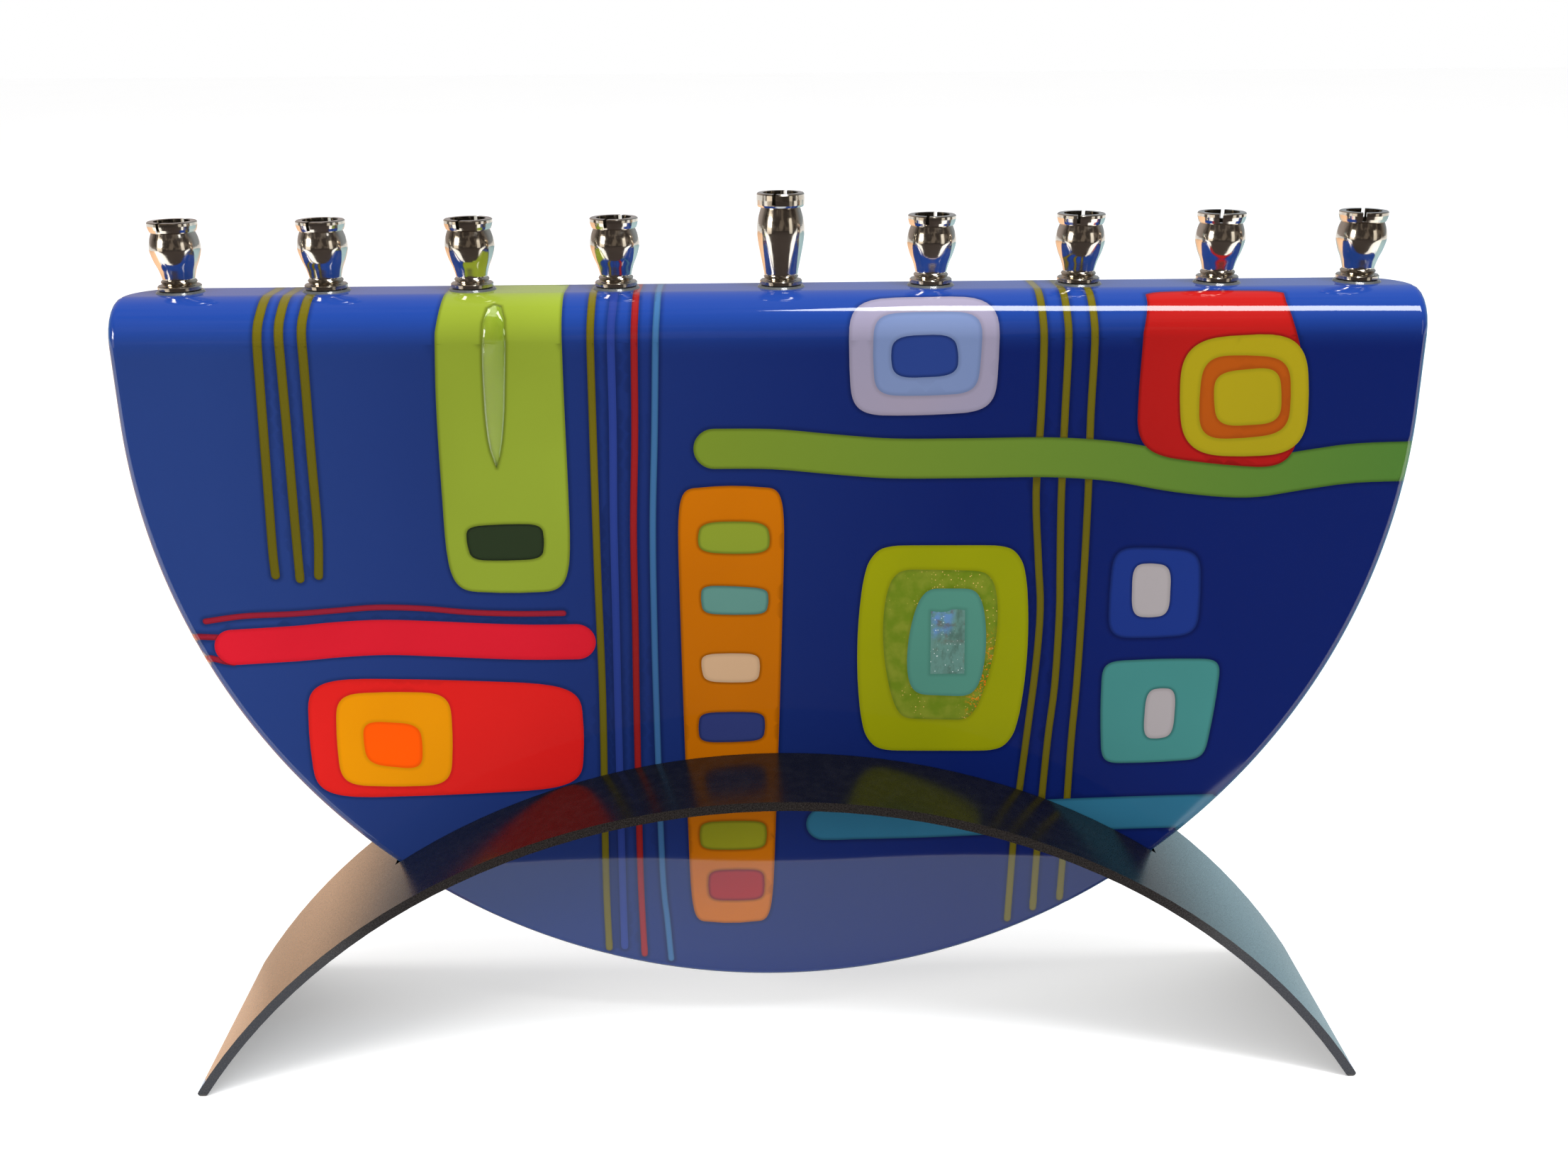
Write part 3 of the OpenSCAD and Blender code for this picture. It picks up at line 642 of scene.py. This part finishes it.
GLASS = {
    "olive": ((98, 88, 16), (80, 74, 16)),
    "lime": ((128, 146, 46), (112, 126, 36)),
    "dark_green": ((38, 50, 30), (30, 40, 26)),
    "periwinkle": ((38, 56, 126), (32, 50, 116)),
    "stringer_red": ((132, 26, 28), (116, 22, 24)),
    "sky": ((52, 92, 132), (44, 80, 124)),
    "thread_red": ((138, 26, 36), (112, 26, 48)),
    "crimson": ((198, 27, 44), (172, 20, 33)),
    "scarlet": ((200, 31, 28), (182, 22, 22)),
    "amber": ((212, 136, 4), (192, 116, 2)),
    "orange": ((236, 84, 2), (220, 70, 4)),
    "marigold": ((174, 96, 2), (154, 82, 2)),
    "leaf": ((100, 119, 36), (67, 103, 42)),
    "lavender": ((136, 126, 140), (114, 118, 150)),
    "pale_blue": ((104, 118, 152), (88, 106, 150)),
    "mid_blue": ((34, 54, 114), (28, 48, 106)),
    "red": ((154, 22, 20), (136, 17, 17)),
    "yellow": ((148, 133, 20), (136, 124, 20)),
    "burnt_orange": ((154, 72, 14), (140, 58, 12)),
    "chartreuse": ((138, 138, 6), (116, 122, 8)),
    "teal": ((78, 132, 116), (62, 112, 100)),
    "blue_block": ((24, 46, 112), (20, 40, 106)),
    "teal_block": ((60, 120, 118), (52, 108, 104)),
    "teal_bar": ((42, 100, 126), (30, 80, 106)),
    "pale": ((152, 146, 148), (140, 134, 136)),
    "cream": ((186, 154, 122), (170, 138, 108)),
    "tile_green": ((120, 132, 38), (108, 126, 40)),
    "tile_teal": ((84, 126, 118), (76, 116, 108)),
    "tile_blue": ((42, 52, 102), (38, 46, 94)),
    "tile_shaded": ((34, 40, 30), (28, 32, 24)),
    "tile_lime": ((128, 126, 24), (112, 114, 22)),
    "tile_red": ((144, 30, 28), (130, 26, 26)),
}
# how dark a piece is at its very edge, and how far in, as a share of SOFT_EDGE, that ends
STRONG_EDGE = (0.55, 0.75)
WEAK_EDGE = (0.8, 0.9)
THIN_EDGE = (0.6, 0.35)
WEAK = ("amber", "orange", "scarlet", "crimson", "lavender", "pale_blue", "pale", "cream",
        "teal", "periwinkle", "chartreuse", "yellow", "burnt_orange")
THIN = ("olive", "stringer_red", "sky", "thread_red")
ALONG_X = {"leaf": (-0.02, 0.19)}


def edge_look(name):
    if name in WEAK:
        return WEAK_EDGE
    return THIN_EDGE if name in THIN else STRONG_EDGE


paints = {name: glass_paint("glass_" + name, a, b, *edge_look(name), ALONG_X.get(name)).material
          for name, (a, b) in GLASS.items()}

# gold-green frit: fine sparkle, and a few orange sparks at its lower right
frit = Paint("glass_gold_green", roughness=0.08)
grain = frit.noise(260.0, 3.0)
frit_body = frit.mix(frit.ramp(grain, (0.3, 0.0), (0.75, 1.0)), linear(88, 108, 20),
                     linear(108, 118, 34))
sown = frit.mix(frit.axis("X", 0.055, 0.069), frit.noise(90.0, 2.0), (0.75, 0.75, 0.75, 1.0))
dust = frit.mix(1.0, frit.ramp(frit.cells(900.0), (0.0, 1.0), (0.24, 0.0)),
                frit.ramp(sown, (0.5, 0.0), (0.62, 1.0)), "MULTIPLY")
frit_body = frit.mix(dust, frit_body, linear(224, 176, 104))
corner = frit.mix(1.0, frit.axis("X", 0.060, 0.0665), frit.axis("Z", 0.145, 0.119), "MULTIPLY")
sparks = frit.mix(1.0, corner, frit.ramp(frit.noise(1500.0, 2.0), (0.54, 0.0), (0.64, 1.0)),
                  "MULTIPLY")
frit_body = frit.mix(sparks, frit_body, linear(240, 100, 10))
frit_edge = frit.ramp(frit.attribute("edge"), (0.0, 0.8), (0.75, 1.0))
frit.colour(frit.mix(1.0, frit_body, frit_edge, "MULTIPLY"))
frit.waves()
frit.bump(grain, 0.0002, 0.4)
paints["gold_green"] = frit.material

# chip of clear glass over a metal film: teal shows through, a painted blue highlight lies at its
# upper left, and one patch is brown
film = Paint("glass_silver", roughness=0.14, metallic=0.1)
patch = film.ramp(film.noise(160.0, 4.0, (1, 1, 0.5), 0.65), (0.36, linear(72, 100, 92)),
                  (0.52, linear(88, 124, 116)), (0.68, linear(80, 98, 84)))
# painted highlight: a blue reflection of the film, laid into its colour at the upper left
high_left = film.mix(1.0, film.axis("X", 0.058, 0.051), film.axis("Z", 0.139, 0.146), "MULTIPLY")
painted_blue_highlight = film.mix(1.0, film.ramp(high_left, (0.1, 0.0), (0.5, 1.0)),
                 film.ramp(film.noise(320.0, 4.0), (0.4, 0.15), (0.62, 0.9)), "MULTIPLY")
highlight_and_tarnish = film.mix(painted_blue_highlight, patch, linear(88, 126, 174))
tarnish = film.mix(1.0, film.ramp(film.axis("Z", 0.135, 0.144), (0.3, 0.0), (0.7, 0.7)),
                   film.ramp(film.noise(240.0, 4.0), (0.54, 0.0), (0.64, 1.0)), "MULTIPLY")
highlight_and_tarnish = film.mix(tarnish, highlight_and_tarnish, linear(88, 84, 78))
bright = film.mix(1.0, film.ramp(film.cells(900.0), (0.0, 1.0), (0.22, 0.0)),
                  film.ramp(film.noise(150.0, 2.0), (0.42, 0.0), (0.54, 1.0)), "MULTIPLY")
film.colour(film.mix(bright, highlight_and_tarnish, linear(220, 232, 232)))
film.bump(film.noise(300.0, 3.0), 0.0006, 0.4)
paints["silver"] = film.material

# clear glass, with the faint green of thick soda glass
clear = Paint("glass_clear", roughness=0.02)
clear.shader.inputs["Transmission Weight"].default_value = 1.0
streaks = clear.ramp(clear.noise(60.0, 3.0, (1, 1, 0.08)), (0.35, linear(214, 228, 190)),
                     (0.7, linear(250, 252, 244)))
clear.colour(streaks)
clear.bump(clear.noise(160.0, 2.0, (1, 1, 0.2)), 0.0006, 0.4)
paints["clear"] = clear.material

# polished nickel with a trace of tarnish, and the bonding drop under each cup
nickel = Paint("polished_nickel", roughness=0.07, metallic=1.0)
nickel.colour(nickel.mix(nickel.ramp(nickel.noise(70.0, 3.0), (0.35, 0.0), (0.75, 1.0)),
                         linear(210, 203, 192), linear(188, 179, 164)))
wear = nickel.ramp(nickel.noise(500.0, 4.0, (1, 1, 3)), (0.35, 0.1), (0.8, 0.17))
nickel.link(wear, nickel.shader.inputs["Roughness"])
adhesive = Paint("clear_adhesive", roughness=0.12)
adhesive.shader.inputs["Transmission Weight"].default_value = 0.9
adhesive.colour(adhesive.ramp(adhesive.noise(200.0, 2.0), (0.3, linear(200, 206, 210)),
                              (0.7, linear(232, 236, 238))))

# black powder coat on steel: a fine orange peel
coat = Paint("black_coat", roughness=0.2)
coat.shader.inputs["Specular IOR Level"].default_value = 0.42
top = coat.mix(coat.ramp(coat.noise(300.0, 3.0), (0.35, 0.0), (0.75, 1.0)),
               linear(8, 8, 8), linear(14, 14, 14))
grit = coat.noise(2000.0, 3.0, rough=0.7)
cut = coat.mix(coat.ramp(grit, (0.36, 0.0), (0.7, 1.0)), linear(22, 19, 18), linear(44, 40, 38))
facing = coat.add("ShaderNodeSeparateXYZ")
coat.link(coat.add("ShaderNodeTexCoord").outputs["Normal"], facing.inputs[0])
edge_face = coat.add("ShaderNodeMath", operation="ABSOLUTE")
coat.link(facing.outputs["Y"], edge_face.inputs[0])
on_edge = coat.ramp(edge_face.outputs[0], (0.6, 0.0), (0.9, 1.0))
coat.colour(coat.mix(on_edge, top, cut))
coat.link(coat.ramp(coat.noise(2500.0, 2.0), (0.3, 0.2), (0.75, 0.3)),
          coat.shader.inputs["Roughness"])
coat.bump(coat.noise(2200.0, 2.0), 0.00004, 0.2)

# ---------------------------------------------------------------- which piece has which finish

LOOK_OF = {
    "olive_stringer": "olive", "lime_panel": "lime", "dark_green_tile": "dark_green",
    "clear_icicle": "clear", "periwinkle_stringer": "periwinkle",
    "red_stringer": "stringer_red", "sky_stringer": "sky", "red_thread": "thread_red",
    "crimson_bar": "crimson", "red_stub": "thread_red", "scarlet_panel": "scarlet",
    "amber_square": "amber", "orange_square": "orange", "marigold_strip": "marigold",
    "tile_green": "tile_green", "tile_teal": "tile_teal", "tile_cream": "cream",
    "tile_blue": "tile_blue", "tile_shaded": "tile_shaded", "tile_lime": "tile_lime",
    "tile_red": "tile_red", "leaf_wave": "leaf", "lavender_block": "lavender",
    "pale_blue_ring": "pale_blue", "mid_blue_centre": "mid_blue", "red_block": "red",
    "yellow_square": "yellow", "orange_ring": "burnt_orange", "yellow_centre": "yellow",
    "chartreuse_block": "chartreuse", "gold_green_ring": "gold_green",
    "teal_centre": "teal", "silver_chip": "silver", "blue_block": "blue_block",
    "white_chip": "pale", "teal_block": "teal_block", "teal_bar": "teal_bar",
}


def dress(piece, material, node, body):
    piece.data.materials.clear()
    piece.data.materials.append(material)
    if "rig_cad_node" not in piece:
        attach(piece, body)
        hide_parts(node)


dress(base_front, blue.material, "glass_base", BODY_OF_GLASS)
glass_pieces["clear_icicle"].visible_shadow = False
for node, piece in glass_pieces.items():
    look = next(v for k, v in LOOK_OF.items() if node.startswith(k))
    dress(piece, paints[look], node, BODY_OF_GLASS)
for node, piece in nodes.items():
    if node.startswith(("candle_cup", "shamash_cup")):
        dress(piece, nickel.material, node, BODY_OF_GLASS)
dress(nodes["adhesive_pads"], adhesive.material, "adhesive_pads", BODY_OF_GLASS)
dress(nodes["arch_stand"], coat.material, "arch_stand", "stand")

# ---------------------------------------------------------------- stage


def staged(name, corners):
    """A sheet of the stage, given its corners in metres."""
    mesh = bpy.data.meshes.new(name)
    mesh.from_pydata(corners, [], [range(len(corners))])
    made = bpy.data.objects.new(name, mesh)
    bpy.context.scene.collection.objects.link(made)
    return made


def sheet_of(name, outline, height):
    """A level sheet of the stage, given its outline in metres."""
    return staged(name, [(x, y, height) for x, y in outline])


def lamp(name, size, place, turn, power, colour):
    """A rectangular lamp that shines down, turned about the vertical."""
    data = bpy.data.lights.new(name, "AREA")
    data.shape = "RECTANGLE"
    data.size, data.size_y = size
    data.energy = power
    data.color = colour
    made = bpy.data.objects.new(name, data)
    bpy.context.scene.collection.objects.link(made)
    made.location = place
    made.rotation_euler = (0, 0, math.radians(turn))
    return made


floor = sheet_of("floor", [(-9, -9), (9, -9), (9, 9), (-9, 9)], -0.0003)
pale = Paint("floor_pale", roughness=0.9)
pale.colour(pale.mix(pale.noise(2.0), linear(246, 246, 246), linear(243, 243, 243)))
pale.shader.inputs["Emission Color"].default_value = (1, 1, 1, 1)
pale.shader.inputs["Emission Strength"].default_value = 0.25
floor.data.materials.append(pale.material)

IN_FRONT = [(-0.15, -0.115), (-0.215, -0.2), (-0.5, -0.36), (-1.5, -0.6), (-8.5, -1.5),
            (-8.5, -8.9), (8.5, -8.9), (8.5, -1.5), (1.5, -0.6), (0.5, -0.36), (0.215, -0.2),
            (0.15, -0.115)]
NEAR_STRIP = [(-0.6, -0.1145), (0.6, -0.1145), (0.6, 0.003), (-0.6, 0.003)]
SOFT_FRONT = [(-0.15, -0.115), (-1.5, -0.6), (-1.5, -1.5), (1.5, -1.5), (1.5, -0.6),
              (0.15, -0.115)]
BEHIND = [(-1.6, -0.03), (-0.12, -0.03), (-0.12, 0.003), (0.12, 0.003), (0.12, -0.03),
          (1.6, -0.03), (1.6, 1.6), (-1.6, 1.6)]


def unseen(made, paint, colours, blend, glossy):
    """Paints a sheet that only mirrors see, or that only soft light sees."""
    paint.colour(paint.mix(blend, (*colours[0], 1), (*colours[1], 1)))
    made.data.materials.append(paint.material)
    made.visible_camera = False
    made.visible_diffuse = not glossy
    made.visible_glossy = glossy
    made.visible_shadow = False
    made.visible_transmission = False


def card(name, outline, height, colours, glossy, across=None):
    """A sheet on the floor that changes what the glass and the arch mirror, or its soft light."""
    paint = Paint(name, roughness=1.0)
    paint.shader.inputs["Specular IOR Level"].default_value = 0.0
    blend = paint.axis("X", *across) if across else paint.noise(3.0)
    unseen(sheet_of(name, outline, height), paint, colours, blend, glossy)


def screen(name, start, end, height, colours):
    """An upright sheet in front and to one side, which only the round metal mirrors."""
    corners = [(*start, 0), (*end, 0), (*end, height), (*start, height)]
    paint = Paint(name, roughness=1.0)
    paint.shader.inputs["Emission Color"].default_value = (*colours[0], 1)
    paint.shader.inputs["Emission Strength"].default_value = 0.5
    unseen(staged(name, corners), paint, colours, paint.noise(3.0), True)


card("dark_card", IN_FRONT, 0.001, ((0.040, 0.033, 0.030), (0.046, 0.037, 0.034)), True)
card("soft_card", SOFT_FRONT, 0.0015, ((0.20, 0.20, 0.20), (0.22, 0.22, 0.22)), False)
card("near_card", NEAR_STRIP, 0.0005, ((0.58, 0.66, 0.80), (0.62, 0.70, 0.84)), True)
card("back_card", BEHIND, 0.001, ((0.90, 0.58, 0.38), (0.34, 0.49, 0.55)), True, (-0.22, 0.22))
screen("left_screen", (-1.5, -0.55), (-1.15, -1.1), 1.0, ((0.72, 0.64, 0.54), (0.8, 0.72, 0.62)))
screen("right_screen", (1.1, -1.2), (1.35, -0.85), 0.8, ((0.5, 0.47, 0.42), (0.6, 0.56, 0.5)))

# the room: white to the eye and as soft light, darker and warmer where it is mirrored
world = bpy.data.worlds.new("studio")
bpy.context.scene.world = world
world.use_nodes = True
sky = world.node_tree


def sky_node(kind, **values):
    node = sky.nodes.new(kind)
    for key, value in values.items():
        setattr(node, key, value)
    return node


def sky_mix(amount, a, b):
    node = sky_node("ShaderNodeMix", data_type="RGBA")
    for slot, value in ((node.inputs[0], amount), (node.inputs[6], a), (node.inputs[7], b)):
        if isinstance(value, tuple):
            slot.default_value = value
        else:
            sky.links.new(value, slot)
    return node.outputs[2]


def sky_range(value, low, high):
    node = sky_node("ShaderNodeMapRange", interpolation_type="SMOOTHSTEP")
    node.inputs["From Min"].default_value = low
    node.inputs["From Max"].default_value = high
    sky.links.new(value, node.inputs["Value"])
    return node.outputs["Result"]


gaze = sky_node("ShaderNodeSeparateXYZ")
sky.links.new(sky_node("ShaderNodeTexCoord").outputs["Generated"], gaze.inputs[0])
behind = sky_mix(sky_range(gaze.outputs["X"], -0.5, 0.5), (0.46, 0.40, 0.38, 1),
                 (0.36, 0.40, 0.44, 1))
blotches = sky_node("ShaderNodeTexNoise")
blotches.inputs["Scale"].default_value = 3.5
in_front = sky_mix(sky_range(blotches.outputs["Fac"], 0.46, 0.62), (0.05, 0.04, 0.034, 1),
                   (0.2, 0.165, 0.135, 1))
mirrored = sky_mix(sky_range(gaze.outputs["Y"], -0.1, 0.75), in_front, behind)
rays = sky_node("ShaderNodeLightPath")
seen = sky_mix(rays.outputs["Is Glossy Ray"], (0.85, 0.85, 0.85, 1), mirrored)
seen = sky_mix(rays.outputs["Is Camera Ray"], seen, (1.0, 1.0, 1.0, 1))
sky.links.new(seen, sky.nodes["Background"].inputs["Color"])

overhead = lamp("overhead", (1.6, 1.2), (0.1, -0.4, 2.1), 0.0, 40, (1.0, 0.99, 0.97))
overhead.visible_glossy = False
lamp("tube", (1.25, 0.3), (0.61, -0.62, 1.5), -32.3, 20, (0.96, 0.98, 1.0))
WINDOW_LIGHTS = (0, 0, 0.25)       # the place the window lamp faces, on the shelf
window = lamp("window", (0.42, 0.34), (-1.15, -0.78, 0.58), 0.0, 8, (1.0, 0.97, 0.92))
aimed = Vector(WINDOW_LIGHTS) - window.location
window.rotation_euler = aimed.to_track_quat("-Z", "Y").to_euler()

# ---------------------------------------------------------------- camera, fitted to the photo

EYE_AT = (-0.0054, -0.4806, 0.3275)
PITCH, YAW, ROLL = 0.34055, 0.0174, -0.00682
LENS, SENSOR = 37.41, 36.0
eye = bpy.data.cameras.new("camera")
eye.lens = LENS
eye.sensor_width = SENSOR
camera = bpy.data.objects.new("camera", eye)
bpy.context.scene.collection.objects.link(camera)
forward = Vector((math.sin(YAW) * math.cos(PITCH), math.cos(YAW) * math.cos(PITCH),
                  -math.sin(PITCH)))
turn = forward.to_track_quat("-Z", "Y").to_matrix().to_4x4()
camera.matrix_world = Matrix.Translation(EYE_AT) @ turn @ Matrix.Rotation(ROLL, 4, "Z")
bpy.context.scene.camera = camera
bpy.context.scene.view_settings.view_transform = "Standard"

bpy.context.view_layer.update()
